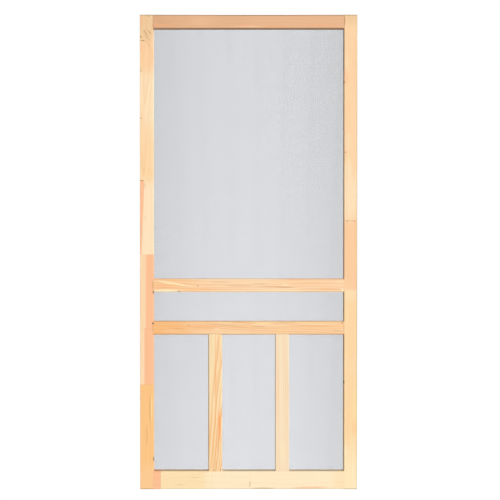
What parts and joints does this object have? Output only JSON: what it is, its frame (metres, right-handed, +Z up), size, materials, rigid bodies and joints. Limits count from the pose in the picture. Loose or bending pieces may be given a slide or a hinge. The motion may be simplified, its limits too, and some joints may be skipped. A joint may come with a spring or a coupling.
{
  "type": "wooden screen door",
  "caption": "Pine screen door leaf: a tall upper light, a narrow band light and a row of lower lights, closed by insect mesh that spline holds in grooves at the back.",
  "frame": {"origin": "on the hinge edge of the left stile, at its foot, half-way through the thickness", "axes": "+X across the leaf from hinge edge to latch edge, +Y from the front face to the back, +Z up"},
  "size_m": [0.925, 0.0286, 2.02],
  "materials": {
    "pine": "bare planed pine, finger-jointed lengths, unpainted",
    "insect_mesh": "charcoal vinyl-coated glass yarn, woven open",
    "spline": "grey ribbed vinyl cord"
  },
  "bodies": {
    "root": {"left_stile": "pine", "right_stile": "pine", "top_rail": "pine", "upper_middle_rail": "pine", "lower_middle_rail": "pine", "bottom_rail": "pine", "left_mullion": "pine", "right_mullion": "pine", "upper_screen": "insect_mesh", "band_screen": "insect_mesh", "lower_left_screen": "insect_mesh", "lower_centre_screen": "insect_mesh", "lower_right_screen": "insect_mesh", "upper_spline_left": "spline", "upper_spline_right": "spline", "upper_spline_foot": "spline", "upper_spline_head": "spline", "band_spline_left": "spline", "band_spline_right": "spline", "band_spline_foot": "spline", "band_spline_head": "spline", "lower_left_spline_left": "spline", "lower_left_spline_right": "spline", "lower_left_spline_foot": "spline", "lower_left_spline_head": "spline", "lower_centre_spline_left": "spline", "lower_centre_spline_right": "spline", "lower_centre_spline_foot": "spline", "lower_centre_spline_head": "spline", "lower_right_spline_left": "spline", "lower_right_spline_right": "spline", "lower_right_spline_foot": "spline", "lower_right_spline_head": "spline"}
  },
  "joints": []
}
